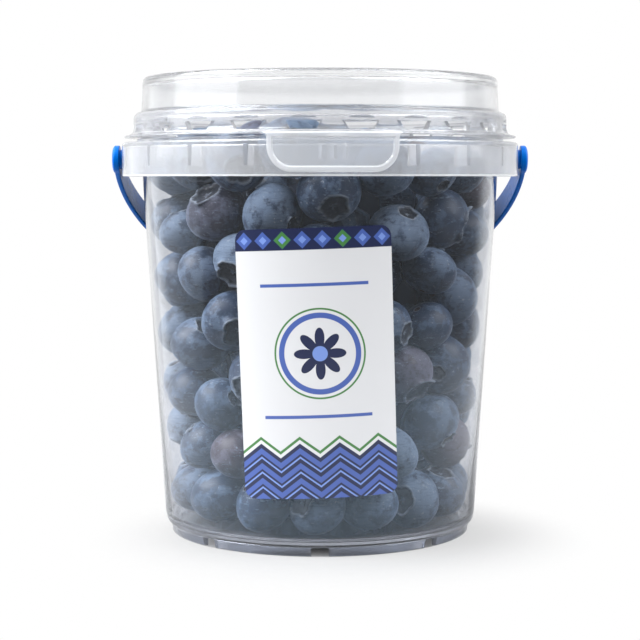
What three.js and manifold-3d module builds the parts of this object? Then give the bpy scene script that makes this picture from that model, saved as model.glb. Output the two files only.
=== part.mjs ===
// A round clear bucket of blueberries, with a vented press-on lid, a swinging bail handle and a front label.
// Millimetres, +Z up. The origin is the middle of the foot ring, on the surface that the bucket stands on.
// The front, with the label and the lid's tab, faces -Y, and the handle's pins lie along X.

import * as THREE from "three";
import { mergeVertices } from "three/addons/utils/BufferGeometryUtils.js";
import Module from "manifold-3d";

// Bucket: a tapered wall on a notched foot ring, with a collar that hangs from the rim as a skirt.
const ROUND_SIDES = 52;
const WALL = 1;
const FOOT_RADIUS = 44.6;
const FOOT_HEIGHT = 2.9;
const FOOT_RING = 1.4;
const FOOT_FLARE = 0.7;
const BEAD = 0.5;
const FLOOR_UNDERSIDE = 2.8;
const FLOOR_TOP = 4.2;
const BODY_BOTTOM = { radius: 46.75, z: 5.6 };
const BODY_TOP = { radius: 53.0, z: 106 };
const NOTCHES = 8;
const NOTCH_WIDTH = 4.9;
const NOTCH_HEIGHT = 2.6;
const COLLAR_RADIUS = 59;
const COLLAR_WALL = 1.2;
const COLLAR_BOTTOM = 106;
const COLLAR_TOP = 116;
const COLLAR_ROUND = 0.8;
const FLANGE = 1.4;
const RIM_TOP = 117;
const RIM_WIDTH = 2.6;
const RIB_WIDTH = 1.6;
const RIB_ABOVE_COLLAR_BOTTOM = 3;
const RIB_FIRST_DEG = 23.6;
const RIB_STEP_DEG = 17.6;
const RIBS_A_SIDE = 8;
const RIB_CLEAR_OF_PIN_DEG = 8;

// Lid: a clear cap over a shoulder with vents, and a tab that hangs in front of the collar.
const LID_GAP = 0.35;
const LID_WALL = 2.2;
const LID_PANEL = 1.1;
const LID_TOP = 135.2;
const LIP_RADIUS = 58.3;
const LIP_HEIGHT = 0.5;
const SHOULDER_RADIUS = 55.5;
const SHOULDER_FOOT = 118.5;
const SHOULDER_TOP = 124.8;
const SHOULDER_ROUND = 2;
const CAP_RADIUS = 53.2;
const CAP_DRAFT = 0.5;
const CAP_ROUND = 1.6;
const STACKING_RIM = 2;
const STACKING_DEPTH = 1.2;
const VENTS = 22;
const VENT_TOP_WIDTH = 10;
const VENT_FOOT_WIDTH = 7;
const VENT_BOTTOM = 118.7;
const VENT_HEIGHT = 2.4;
const TAB_TURN_DEG = 3.5;
const TAB_WIDTH = 36;
const TAB_BOTTOM = 107.1;
const TAB_CORNER = 7;
const TAB_INNER_RADIUS = 59.35;
const TAB_THICKNESS = 1.35;
const TAB_BORDER = 1.3;
const TAB_RECESS = 0.5;
const TAB_COLUMNS = 14;
const GRIP_BARS = 3;
const GRIP_BAR = { width: 1.2, height: 4, pitch: 3.2, relief: 0.35 };

// Handle: a flat band bent to half an ellipse, on two pins, lying against the back of the bucket.
const PIVOT_Z = 111.1;
const PIN_RADIUS = 3;
const PIN_HOLE_RADIUS = 3.3;
const PIN_REACH = 56.2;
const PIN_SIDES = 12;
const HOLE_SIDES = 16;
const DISC_RADIUS = 4.15;
const DISC_INNER = 60;
const DISC_OUTER = 62.2;
const DISC_EDGE = 61.5;
const DISC_SIDES = 20;
const BAIL_HALF_SPAN = 61.5;
const BAIL_REACH = 68.2;
const BAND_THICKNESS = 1.5;
const BAND_WIDTH = 8;
const BAIL_STEPS = 32;
const REST_FROM_DOWN_DEG = 53.4;

// Label: a thin rounded sheet on the front of the wall, stuck on a little askew.
const LABEL_WIDTH = 44;
const LABEL_HEIGHT = 75;
const LABEL_CORNER = 3;
const LABEL_CENTRE = { arc: -0.85, z: 54.6 };
const LABEL_TILT_DEG = 2.1;
const LABEL_GAP = 0.12;
const LABEL_THICKNESS = 0.2;
const LABEL_COLUMNS = 20;

// Blueberries: poured in and settled, so that they press against the wall and each other.
const BERRY_COUNT = 226;
const BERRY_SEED = 7321;
const BERRY_SMALLEST = 7.5;
const BERRY_LARGEST = 9.2;
const BERRY_FLATNESS = 0.86;
const BERRY_SIDES = 6;
const BERRY_RINGS = 4;
const BERRY_GAP = 0.3;
const BERRY_PACKING = 0.95;
const POUR_PITCH = 0.7;
const POUR_SPREAD = 36;
const SETTLE_STEPS = 700;
const SETTLE_SINK = 0.6;
const REST_STEPS = 300;
const PUSH_SHARE = 0.4;
const GRID = 1e6;
const CORE_SIDES = 12;
const CORE_INSET = 10.5;
const CORE_BOTTOM = 12;
const CORE_SHOULDER = 105;
const CORE_CROWN = { radius: 34, z: 107 };
const SHOWING_DEPTH = 5;

const wasm = await Module();
wasm.setup();

// A closed geometry as a solid that can be joined and cut.
function solidOf(geometry) {
  const bare = new THREE.BufferGeometry();
  bare.setAttribute("position", geometry.getAttribute("position"));
  bare.setIndex(geometry.index);
  const merged = mergeVertices(bare, 1e-4);
  const corners = [];
  for (let i = 0; i < merged.index.count; i += 3) {
    const [a, b, c] = merged.index.array.slice(i, i + 3);
    if (a !== b && b !== c && a !== c) corners.push(a, b, c);
  }
  const vertProperties = merged.getAttribute("position").array;
  const triVerts = Uint32Array.from(corners);
  return new wasm.Manifold(new wasm.Mesh({ numProp: 3, vertProperties, triVerts }));
}

// The surface of a solid, for a mesh.
function geometryOf(solid) {
  const { vertProperties, triVerts } = solid.getMesh();
  const geometry = new THREE.BufferGeometry();
  geometry.setAttribute("position", new THREE.BufferAttribute(vertProperties, 3));
  geometry.setIndex(new THREE.BufferAttribute(triVerts, 1));
  geometry.computeVertexNormals();
  return geometry;
}

// A profile of [radius, height] points turned about the Z axis, starting at the front.
function turned(profile, sides = ROUND_SIDES) {
  const points = profile.map(([radius, z]) => new THREE.Vector2(radius, z));
  return solidOf(new THREE.LatheGeometry(points, sides).rotateX(Math.PI / 2));
}

// A geometry modelled at the front, on the -Y side, carried round the Z axis towards +X.
function around(geometry, degrees) {
  return geometry.rotateZ(THREE.MathUtils.degToRad(degrees));
}

// The outer radius of the bucket's tapered wall at a height.
function wallRadius(z) {
  const rise = (z - BODY_BOTTOM.z) / (BODY_TOP.z - BODY_BOTTOM.z);
  return BODY_BOTTOM.radius + rise * (BODY_TOP.radius - BODY_BOTTOM.radius);
}

// Half the height that rounded corners leave at a distance from the middle of a plate.
function roundedHalf(along, halfWidth, halfHeight, corner) {
  const into = Math.max(0, Math.abs(along) - (halfWidth - corner));
  return halfHeight - corner + Math.sqrt(Math.max(0, corner * corner - into * into));
}

// A flat plate facing -Y whose top and bottom edges follow two functions of the distance along it.
// Its columns crowd towards both ends, where the corners are rounded.
function plate(width, thickness, columns, bottomAt, topAt) {
  const geometry = new THREE.BoxGeometry(1, thickness, 1, columns, 1, 1);
  const position = geometry.getAttribute("position");
  for (let i = 0; i < position.count; i++) {
    const along = (-width / 2) * Math.cos(Math.PI * (position.getX(i) + 0.5));
    const height = position.getZ(i) < 0 ? bottomAt(along) : topAt(along);
    position.setXYZ(i, along, position.getY(i), height);
  }
  return geometry;
}

// A flat plate bent round the Z axis, its middle plane on a radius that may change with height.
function bent(geometry, radiusAt) {
  const position = geometry.getAttribute("position");
  for (let i = 0; i < position.count; i++) {
    const z = position.getZ(i);
    const middle = radiusAt(z);
    const angle = position.getX(i) / middle;
    const radius = middle - position.getY(i);
    position.setXYZ(i, radius * Math.sin(angle), -radius * Math.cos(angle), z);
  }
  return geometry;
}

// A round bar along X between two places, as the pins and their holes need.
function barAlongX(radius, from, to, sides) {
  const bar = new THREE.CylinderGeometry(radius, radius, Math.abs(to - from), sides);
  return solidOf(bar.rotateZ(Math.PI / 2).translate((from + to) / 2, 0, PIVOT_Z));
}

function makeBucket() {
  const skirtInside = COLLAR_RADIUS - COLLAR_WALL;
  const flangeUnderside = COLLAR_TOP - FLANGE;
  const footInside = FOOT_RADIUS - FOOT_RING;
  const mouth = BODY_TOP.radius - WALL;
  let bucket = turned([
    [0, FLOOR_UNDERSIDE],
    [footInside, FLOOR_UNDERSIDE],
    [footInside, 0],
    [FOOT_RADIUS, 0],
    [FOOT_RADIUS + FOOT_FLARE, FOOT_HEIGHT],
    [BODY_BOTTOM.radius - BEAD, FOOT_HEIGHT + BEAD],
    [BODY_BOTTOM.radius, BODY_BOTTOM.z],
    [BODY_TOP.radius, BODY_TOP.z],
    [wallRadius(flangeUnderside), flangeUnderside],
    [skirtInside, flangeUnderside],
    [skirtInside, COLLAR_BOTTOM],
    [COLLAR_RADIUS, COLLAR_BOTTOM],
    [COLLAR_RADIUS, COLLAR_TOP - COLLAR_ROUND],
    [COLLAR_RADIUS - COLLAR_ROUND, COLLAR_TOP],
    [mouth + RIM_WIDTH, COLLAR_TOP],
    [mouth + RIM_WIDTH, RIM_TOP],
    [mouth, RIM_TOP],
    [mouth, BODY_TOP.z],
    [BODY_BOTTOM.radius - WALL, BODY_BOTTOM.z],
    [BODY_BOTTOM.radius - 2 * WALL, FLOOR_TOP],
    [0, FLOOR_TOP],
  ]);
  for (let i = 0; i < NOTCHES; i++) {
    const notch = new THREE.BoxGeometry(NOTCH_WIDTH, 4 * FOOT_RING, 2 * NOTCH_HEIGHT);
    notch.translate(0, -FOOT_RADIUS + FOOT_RING / 2, 0);
    bucket = bucket.subtract(solidOf(around(notch, (i * 360) / NOTCHES)));
  }
  for (const side of [-1, 1]) {
    for (let i = 0; i < RIBS_A_SIDE; i++) {
      const turn = TAB_TURN_DEG + side * (RIB_FIRST_DEG + i * RIB_STEP_DEG);
      if (Math.abs(Math.abs(turn) - 90) < RIB_CLEAR_OF_PIN_DEG) continue;
      const ribFrom = wallRadius(COLLAR_BOTTOM) - WALL / 2;
      const ribTo = skirtInside + COLLAR_WALL / 2;
      const ribFoot = COLLAR_BOTTOM + RIB_ABOVE_COLLAR_BOTTOM;
      const ribTop = flangeUnderside + FLANGE / 2;
      const rib = new THREE.BoxGeometry(RIB_WIDTH, ribTo - ribFrom, ribTop - ribFoot);
      rib.translate(0, -(ribFrom + ribTo) / 2, (ribFoot + ribTop) / 2);
      bucket = bucket.add(solidOf(around(rib, turn)));
    }
    const holeFrom = side * (skirtInside - COLLAR_WALL);
    const holeTo = side * (COLLAR_RADIUS + COLLAR_WALL);
    bucket = bucket.subtract(barAlongX(PIN_HOLE_RADIUS, holeFrom, holeTo, HOLE_SIDES));
  }
  return bucket;
}

function makeTab(lipUnderside) {
  const half = TAB_WIDTH / 2;
  const top = lipUnderside + LIP_HEIGHT;
  const middle = TAB_INNER_RADIUS + TAB_THICKNESS / 2;
  const outline = (inset) => (along) => {
    const into = Math.max(0, Math.abs(along) - (half - TAB_CORNER));
    const corner = TAB_CORNER - inset;
    return TAB_BOTTOM + TAB_CORNER - Math.sqrt(Math.max(0, corner * corner - into * into));
  };
  const panel = plate(TAB_WIDTH, TAB_THICKNESS, TAB_COLUMNS, outline(0), () => top);
  const ledgeDepth = middle - SHOULDER_RADIUS;
  const ledge = plate(TAB_WIDTH, ledgeDepth, TAB_COLUMNS, () => lipUnderside, () => top);
  const recessWidth = TAB_WIDTH - 2 * TAB_BORDER;
  const recessTop = () => top - TAB_BORDER;
  const recess = plate(recessWidth, 2 * TAB_RECESS, TAB_COLUMNS, outline(TAB_BORDER), recessTop);
  let tab = solidOf(around(bent(panel, () => middle), TAB_TURN_DEG));
  tab = tab.add(solidOf(around(bent(ledge, () => middle - ledgeDepth / 2), TAB_TURN_DEG)));
  tab = tab.subtract(solidOf(around(bent(recess, () => TAB_INNER_RADIUS + TAB_THICKNESS), TAB_TURN_DEG)));
  const barMiddle = (TAB_BOTTOM + top) / 2;
  for (let i = 0; i < GRIP_BARS; i++) {
    const bar = new THREE.BoxGeometry(GRIP_BAR.width, 2 * GRIP_BAR.relief, GRIP_BAR.height);
    bar.translate(0, -(TAB_INNER_RADIUS + TAB_THICKNESS - TAB_RECESS), barMiddle);
    const offset = (i - (GRIP_BARS - 1) / 2) * GRIP_BAR.pitch;
    const turn = THREE.MathUtils.radToDeg(offset / middle);
    tab = tab.add(solidOf(around(bar, TAB_TURN_DEG + turn)));
  }
  return tab;
}

function makeLid() {
  const underside = RIM_TOP + LID_GAP;
  const capInside = CAP_RADIUS - LID_WALL;
  const capTop = CAP_RADIUS - CAP_DRAFT;
  const shoulderInside = SHOULDER_RADIUS - LID_WALL;
  const panelTop = LID_TOP - STACKING_DEPTH;
  const rimInside = capTop - CAP_ROUND - STACKING_RIM;
  let lid = turned([
    [shoulderInside, underside],
    [LIP_RADIUS, underside],
    [LIP_RADIUS, underside + LIP_HEIGHT],
    [SHOULDER_RADIUS, SHOULDER_FOOT],
    [SHOULDER_RADIUS, SHOULDER_TOP - SHOULDER_ROUND],
    [SHOULDER_RADIUS - 0.3 * SHOULDER_ROUND, SHOULDER_TOP - 0.3 * SHOULDER_ROUND],
    [SHOULDER_RADIUS - SHOULDER_ROUND, SHOULDER_TOP],
    [CAP_RADIUS, SHOULDER_TOP],
    [capTop, LID_TOP - CAP_ROUND],
    [capTop - 0.3 * CAP_ROUND, LID_TOP - 0.3 * CAP_ROUND],
    [capTop - CAP_ROUND, LID_TOP],
    [rimInside, LID_TOP],
    [rimInside, panelTop],
    [0, panelTop],
    [0, panelTop - LID_PANEL],
    [capInside - CAP_DRAFT, panelTop - LID_PANEL],
    [capInside, SHOULDER_TOP - LID_WALL],
    [shoulderInside, SHOULDER_TOP - LID_WALL],
    [shoulderInside, underside],
  ]);
  const vent = new THREE.Shape();
  vent.moveTo(-VENT_FOOT_WIDTH / 2, 0);
  vent.lineTo(VENT_FOOT_WIDTH / 2, 0);
  vent.lineTo(VENT_TOP_WIDTH / 2, VENT_HEIGHT);
  vent.lineTo(-VENT_TOP_WIDTH / 2, VENT_HEIGHT);
  for (let i = 0; i < VENTS; i++) {
    const cutter = new THREE.ExtrudeGeometry(vent, { depth: 4 * LID_WALL, bevelEnabled: false });
    cutter.rotateX(Math.PI / 2).translate(0, -SHOULDER_RADIUS + 2 * LID_WALL, VENT_BOTTOM);
    lid = lid.subtract(solidOf(around(cutter, TAB_TURN_DEG + ((i + 0.5) * 360) / VENTS)));
  }
  return lid.add(makeTab(underside));
}

// The bail is drawn in its own plane, hanging straight down from the pins, and then swung to the back.
function makeHandle() {
  const outline = new THREE.Shape();
  const innerSpan = BAIL_HALF_SPAN - BAND_THICKNESS;
  const innerReach = BAIL_REACH - BAND_THICKNESS;
  outline.absellipse(0, 0, BAIL_HALF_SPAN, BAIL_REACH, Math.PI, 2 * Math.PI);
  outline.absellipse(0, 0, innerSpan, innerReach, 0, Math.PI, true);
  const sweep = { depth: BAND_WIDTH, bevelEnabled: false, curveSegments: BAIL_STEPS };
  const band = new THREE.ExtrudeGeometry(outline, sweep);
  band.rotateX(Math.PI / 2).translate(0, BAND_WIDTH / 2, PIVOT_Z);
  let handle = solidOf(band);
  for (const side of [-1, 1]) {
    const discProfile = [
      new THREE.Vector2(0, DISC_INNER),
      new THREE.Vector2(DISC_RADIUS, DISC_INNER),
      new THREE.Vector2(DISC_RADIUS, DISC_EDGE),
      new THREE.Vector2(0.75 * DISC_RADIUS, DISC_OUTER),
      new THREE.Vector2(0, DISC_OUTER),
    ];
    const disc = new THREE.LatheGeometry(discProfile, DISC_SIDES);
    disc.rotateZ((-side * Math.PI) / 2).translate(0, 0, PIVOT_Z);
    handle = handle.add(solidOf(disc));
    handle = handle.add(barAlongX(PIN_RADIUS, side * PIN_REACH, side * DISC_EDGE, PIN_SIDES));
  }
  return handle;
}

function makeLabel() {
  const halfWidth = LABEL_WIDTH / 2;
  const edge = (along) => roundedHalf(along, halfWidth, LABEL_HEIGHT / 2, LABEL_CORNER);
  const sheet = plate(LABEL_WIDTH, LABEL_THICKNESS, LABEL_COLUMNS, (along) => -edge(along), edge);
  sheet.rotateY(THREE.MathUtils.degToRad(-LABEL_TILT_DEG));
  sheet.translate(LABEL_CENTRE.arc, 0, LABEL_CENTRE.z);
  return bent(sheet, (z) => wallRadius(z) + LABEL_GAP + LABEL_THICKNESS / 2);
}

// Draws between 0 and 1 from a seed, in a fixed order.
function drawsFrom(seed) {
  let state = seed;
  return () => {
    state = (state * 16807) % 2147483647;
    return state / 2147483647;
  };
}

// The berries' sizes and resting places. Each one sinks a little at a time, and is pushed clear of the
// floor, the wall and its neighbours.
function settleBerries() {
  const draw = drawsFrom(BERRY_SEED);
  const taper = (BODY_TOP.radius - BODY_BOTTOM.radius) / (BODY_TOP.z - BODY_BOTTOM.z);
  const slant = Math.sqrt(1 + taper * taper);
  const berries = [];
  for (let i = 0; i < BERRY_COUNT; i++) {
    const radius = BERRY_SMALLEST + (BERRY_LARGEST - BERRY_SMALLEST) * draw();
    const x = POUR_SPREAD * (2 * draw() - 1);
    const y = POUR_SPREAD * (2 * draw() - 1);
    berries.push({ radius, x, y, z: FLOOR_TOP + 2 * BERRY_LARGEST + i * POUR_PITCH });
  }
  for (let step = 0; step < SETTLE_STEPS + REST_STEPS; step++) {
    const sink = SETTLE_SINK * Math.max(0, 1 - step / SETTLE_STEPS);
    const pushes = berries.map(() => [0, 0, -sink]);
    for (let i = 0; i < BERRY_COUNT; i++) {
      for (let j = i + 1; j < BERRY_COUNT; j++) {
        const a = berries[i];
        const b = berries[j];
        const reach = BERRY_PACKING * (a.radius + b.radius);
        const [dx, dy, dz] = [a.x - b.x, a.y - b.y, a.z - b.z];
        const apart = Math.sqrt(dx * dx + dy * dy + dz * dz);
        if (apart >= reach) continue;
        const push = (PUSH_SHARE * (reach - apart)) / apart;
        [dx, dy, dz].forEach((d, axis) => {
          pushes[i][axis] += push * d;
          pushes[j][axis] -= push * d;
        });
      }
    }
    berries.forEach((berry, i) => {
      berry.x += pushes[i][0];
      berry.y += pushes[i][1];
      berry.z = Math.max(berry.z + pushes[i][2], FLOOR_TOP + BERRY_GAP + berry.radius);
      const inside = Math.min(wallRadius(berry.z), BODY_TOP.radius) - WALL;
      const room = inside - slant * (berry.radius + BERRY_GAP);
      const out = Math.sqrt(berry.x * berry.x + berry.y * berry.y);
      const pull = out > room ? room / out : 1;
      berry.x = Math.round(berry.x * pull * GRID) / GRID;
      berry.y = Math.round(berry.y * pull * GRID) / GRID;
      berry.z = Math.round(berry.z * GRID) / GRID;
    });
  }
  return berries.map((berry) => ({ ...berry, lean: [draw(), draw(), draw()] }));
}

// A berry shows if it lies near the wall or the floor, or if nothing much lies on it.
function shows(berry, berries) {
  const out = Math.hypot(berry.x, berry.y) + berry.radius;
  if (out > wallRadius(berry.z) - WALL - SHOWING_DEPTH) return true;
  return !berries.some((other) => {
    const beside = Math.hypot(other.x - berry.x, other.y - berry.y);
    return other.z > berry.z + berry.radius && beside < berry.radius;
  });
}

function makeBlueberries() {
  const berries = settleBerries();
  const coreProfile = [
    [0, CORE_BOTTOM],
    [wallRadius(CORE_BOTTOM) - CORE_INSET, CORE_BOTTOM],
    [wallRadius(CORE_SHOULDER) - CORE_INSET, CORE_SHOULDER],
    [CORE_CROWN.radius, CORE_CROWN.z],
    [0, CORE_CROWN.z],
  ];
  let heap = turned(coreProfile, CORE_SIDES);
  for (const berry of berries.filter((each) => shows(each, berries))) {
    const ball = new THREE.SphereGeometry(berry.radius, BERRY_SIDES, BERRY_RINGS);
    ball.scale(1, BERRY_FLATNESS, 1);
    const [tip, roll, spin] = berry.lean.map((share) => 2 * Math.PI * share);
    ball.rotateY(spin).rotateX(tip).rotateZ(roll);
    heap = heap.add(solidOf(ball.translate(berry.x, berry.y, berry.z)));
  }
  const bodies = heap.decompose();
  bodies.sort((a, b) => b.volume() - a.volume());
  return bodies[0];
}

const clearPlastic = new THREE.MeshStandardMaterial({ color: 0xe6e9ee, roughness: 0.18, metalness: 0 });
clearPlastic.transparent = true;
clearPlastic.opacity = 0.4;
const lidPlastic = clearPlastic.clone();
lidPlastic.opacity = 0.3;
const bluePlastic = new THREE.MeshStandardMaterial({ color: 0x005fcd, roughness: 0.35, metalness: 0 });
const labelFilm = new THREE.MeshStandardMaterial({ color: 0xeeeef2, roughness: 0.5, metalness: 0 });
const berrySkin = new THREE.MeshStandardMaterial({ color: 0x465672, roughness: 0.6, metalness: 0 });

function part(name, geometry, material) {
  const mesh = new THREE.Mesh(geometry, material);
  mesh.name = name;
  return mesh;
}

const handleSwing = new THREE.Group();
handleSwing.position.z = PIVOT_Z;
handleSwing.rotation.x = THREE.MathUtils.degToRad(REST_FROM_DOWN_DEG);
handleSwing.add(part("handle", geometryOf(makeHandle()).translate(0, 0, -PIVOT_Z), bluePlastic));

const bucketOfBlueberries = new THREE.Group();
bucketOfBlueberries.add(part("bucket", geometryOf(makeBucket()), clearPlastic));
bucketOfBlueberries.add(part("lid", geometryOf(makeLid()), lidPlastic));
bucketOfBlueberries.add(part("label", makeLabel(), labelFilm));
bucketOfBlueberries.add(part("blueberries", geometryOf(makeBlueberries()), berrySkin));
bucketOfBlueberries.add(handleSwing);

export default bucketOfBlueberries;
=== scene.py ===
import math

import bpy
import numpy as np
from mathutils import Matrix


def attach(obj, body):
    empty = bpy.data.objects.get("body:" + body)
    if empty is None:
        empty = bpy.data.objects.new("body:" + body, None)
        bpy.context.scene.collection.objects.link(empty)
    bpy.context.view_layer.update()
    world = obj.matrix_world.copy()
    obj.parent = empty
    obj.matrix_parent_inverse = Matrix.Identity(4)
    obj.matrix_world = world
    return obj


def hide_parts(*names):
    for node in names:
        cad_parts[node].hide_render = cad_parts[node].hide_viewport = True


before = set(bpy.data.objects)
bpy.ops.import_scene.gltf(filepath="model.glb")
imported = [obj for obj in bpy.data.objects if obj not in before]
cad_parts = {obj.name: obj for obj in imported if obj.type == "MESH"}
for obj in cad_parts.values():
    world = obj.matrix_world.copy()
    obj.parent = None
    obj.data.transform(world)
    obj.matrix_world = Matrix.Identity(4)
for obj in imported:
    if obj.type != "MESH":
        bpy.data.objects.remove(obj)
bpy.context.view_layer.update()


# Bucket: clear polypropylene, injection moulded in one piece. A tapered wall stands on a foot ring with
# drain notches. A collar hangs from the rim as a skirt, with ribs behind it and a hole at each side for the
# handle.
MM = 0.001
ROUND_SIDES = 360
WALL_FOOT = (46.75, 5.6)
WALL_HEAD = (53.0, 106.0)
WALL_THICKNESS = 1.0
MOUTH = 52.0
FLOOR_TOP = 4.2
BUCKET_OUTLINE = [
    (0, 2.8, 0),
    (43.2, 2.8, 0.6),
    (43.2, 0, 0.3),
    (44.6, 0, 0.4),
    (45.3, 2.9, 0.2),
    (46.25, 3.4, 0.35),
    (46.75, 5.6, 1.0),
    (53.0, 106, 0),
    (53.55, 114.6, 0.5),
    (57.8, 114.6, 0.5),
    (57.8, 106, 0.3),
    (59, 106, 0.5),
    (59, 116, 0.9),
    (54.6, 116, 0.3),
    (54.6, 117, 0.3),
    (MOUTH, 117, 0.4),
    (MOUTH, 106, 0),
    (45.66, FLOOR_TOP, 2.4),
    (0, FLOOR_TOP, 0),
]
NOTCHES = 8
NOTCH = {"from_radius": 40, "to_radius": 48, "bottom": -1, "top": 2.6, "foot_width": 4.9, "head_width": 4.9}
RIB = {"from_radius": 53.1, "to_radius": 58.2, "bottom": 109, "top": 115.2,
       "foot_width": 1.1, "head_width": 1.6}
RIBS_A_SIDE = 8
RIB_FIRST_DEG = 23.6
RIB_STEP_DEG = 17.6
RIB_CLEAR_OF_PIN_DEG = 8
TAB_TURN_DEG = 3.5
PIVOT_Z = 111.1
PIN_HOLE_OUTLINE = [(0, 56.8), (3.3, 56.8), (3.3, 60), (0, 60)]
PIN_HOLE_SIDES = 48


def rounded(corners, steps=4):
    """The outline of (radius, height, rounding) corners, each rounded corner drawn as a short curve."""
    points = []
    for i, (radius, height, rounding) in enumerate(corners):
        corner = np.array((radius, height), float)
        if not rounding:
            points.append(corner)
            continue
        back = np.array(corners[i - 1][:2]) - corner
        ahead = np.array(corners[(i + 1) % len(corners)][:2]) - corner
        start = corner + back * rounding / np.linalg.norm(back)
        stop = corner + ahead * rounding / np.linalg.norm(ahead)
        for t in np.linspace(0, 1, steps + 1):
            points.append((1 - t) ** 2 * start + 2 * t * (1 - t) * corner + t * t * stop)
    return points


def turned(outline, sides=ROUND_SIDES):
    """Vertices and faces of a closed outline turned about Z. A point on the axis becomes one vertex."""
    vertices, rows, faces = [], [], []
    for radius, height in outline:
        first = len(vertices)
        if radius < 1e-6:
            vertices.append((0, 0, height))
            rows.append([first] * sides)
            continue
        for turn in np.arange(sides) * 2 * math.pi / sides:
            vertices.append((radius * math.sin(turn), -radius * math.cos(turn), height))
        rows.append(range(first, first + sides))
    for low, high in zip(rows, rows[1:] + rows[:1]):
        for i in range(sides):
            j = (i + 1) % sides
            face = list(dict.fromkeys((low[i], low[j], high[j], high[i])))
            if len(face) > 2:
                faces.append(face)
    return vertices, faces


def wedge(turn_deg, from_radius, to_radius, bottom, top, foot_width, head_width):
    """A block that points outward at a turn from the front, with its widths at its foot and its head."""
    turn = math.radians(turn_deg)
    out = np.array((math.sin(turn), -math.cos(turn)))
    side = np.array((math.cos(turn), math.sin(turn)))
    vertices = []
    for radius in (from_radius, to_radius):
        for height, half in ((bottom, foot_width / 2), (top, head_width / 2)):
            for sign in (-1, 1):
                vertices.append((*(radius * out + sign * half * side), height))
    faces = [(0, 2, 3, 1), (4, 5, 7, 6), (0, 1, 5, 4), (2, 6, 7, 3), (0, 4, 6, 2), (1, 3, 7, 5)]
    return vertices, faces


def joined(solids):
    """Several (vertices, faces) as one."""
    vertices, faces = [], []
    for more_vertices, more_faces in solids:
        faces.extend([[len(vertices) + v for v in face] for face in more_faces])
        vertices.extend(more_vertices)
    return vertices, faces


def piece(name, solid):
    """An object made from (vertices, faces) in millimetres."""
    vertices, faces = solid
    mesh = bpy.data.meshes.new(name)
    mesh.from_pydata((np.asarray(vertices, float) * MM).tolist(), [], faces)
    mesh.validate()
    made = bpy.data.objects.new(name, mesh)
    bpy.context.scene.collection.objects.link(made)
    return made


def carved(body, operation, solid):
    """Joins a solid to the body or cuts it out, as the operation says."""
    tool = piece("tool", solid)
    step = body.modifiers.new("carve", "BOOLEAN")
    step.operation = operation
    step.solver = "MANIFOLD"
    step.object = tool
    graph = bpy.context.evaluated_depsgraph_get()
    mesh = bpy.data.meshes.new_from_object(body.evaluated_get(graph))
    body.modifiers.clear()
    mesh.materials.clear()
    body.data = mesh
    bpy.data.objects.remove(tool)


def smoothed(body, degrees=32):
    """Smooth shading, with sharp edges where faces meet at more than an angle."""
    body.data.shade_smooth()
    body.data.set_sharp_from_angle(angle=math.radians(degrees))


def turned_along_x(outline, side, sides):
    """A closed outline of (radius, distance) points turned about the handle's pins, on one side."""
    vertices, faces = turned(outline, sides)
    return [(side * z, side * x, PIVOT_Z + y) for x, y, z in vertices], faces


def node(tree, kind, values=None, **settings):
    """A shader node with its settings, and with its inputs set to values or linked to sockets."""
    made = tree.nodes.new("ShaderNode" + kind)
    for name, value in settings.items():
        setattr(made, name, value)
    for socket, value in (values or {}).items():
        if isinstance(value, bpy.types.NodeSocket):
            tree.links.new(value, made.inputs[socket])
        else:
            made.inputs[socket].default_value = value
    return made


def material(name):
    """An empty node material, its tree and its output node."""
    made = bpy.data.materials.new(name)
    made.use_nodes = True
    made.node_tree.nodes.clear()
    return made, made.node_tree, made.node_tree.nodes.new("ShaderNodeOutputMaterial")


def math_node(tree, operation, *values):
    """The result of a math node on up to three values or sockets."""
    return node(tree, "Math", dict(enumerate(values)), operation=operation).outputs[0]


def mix_colour(tree, share, low, high):
    """The colour between two, by a share."""
    return node(tree, "Mix", {0: share, 6: low, 7: high}, data_type="RGBA").outputs[2]


def group(name, inputs, outputs):
    """A new shader node group with float inputs and typed outputs, and its input and output nodes."""
    tree = bpy.data.node_groups.new(name, "ShaderNodeTree")
    for label, default in inputs.items():
        socket = tree.interface.new_socket(label, in_out="INPUT", socket_type="NodeSocketFloat")
        socket.default_value = default
    for label, kind in outputs.items():
        tree.interface.new_socket(label, in_out="OUTPUT", socket_type="NodeSocket" + kind)
    return tree, tree.nodes.new("NodeGroupInput"), tree.nodes.new("NodeGroupOutput")


moulding, moulding_in, moulding_out = group(
    "moulding marks", {"Roughness": 0.08, "Ripple": 0.1}, {"Roughness": "Float", "Normal": "Vector"})
place = node(moulding, "TexCoord").outputs["Object"]
cloud = node(moulding, "TexNoise", {"Vector": place, "Scale": 22.0, "Detail": 2.0}).outputs["Fac"]
streaks = node(moulding, "Mapping", {"Vector": place, "Scale": (90.0, 90.0, 9.0)}).outputs["Vector"]
streak = node(moulding, "TexNoise", {"Vector": streaks, "Scale": 1.0, "Detail": 2.0}).outputs["Fac"]
spread = node(moulding, "MapRange", {"Value": cloud, "From Min": 0.3, "From Max": 0.7, "To Min": 0.6,
                                     "To Max": 1.5}).outputs["Result"]
moulding.links.new(math_node(moulding, "MULTIPLY", spread, moulding_in.outputs["Roughness"]),
                   moulding_out.inputs["Roughness"])
ripple = node(moulding, "Bump", {"Strength": moulding_in.outputs["Ripple"], "Distance": 0.001,
                                 "Height": streak})
moulding.links.new(ripple.outputs["Normal"], moulding_out.inputs["Normal"])


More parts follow.
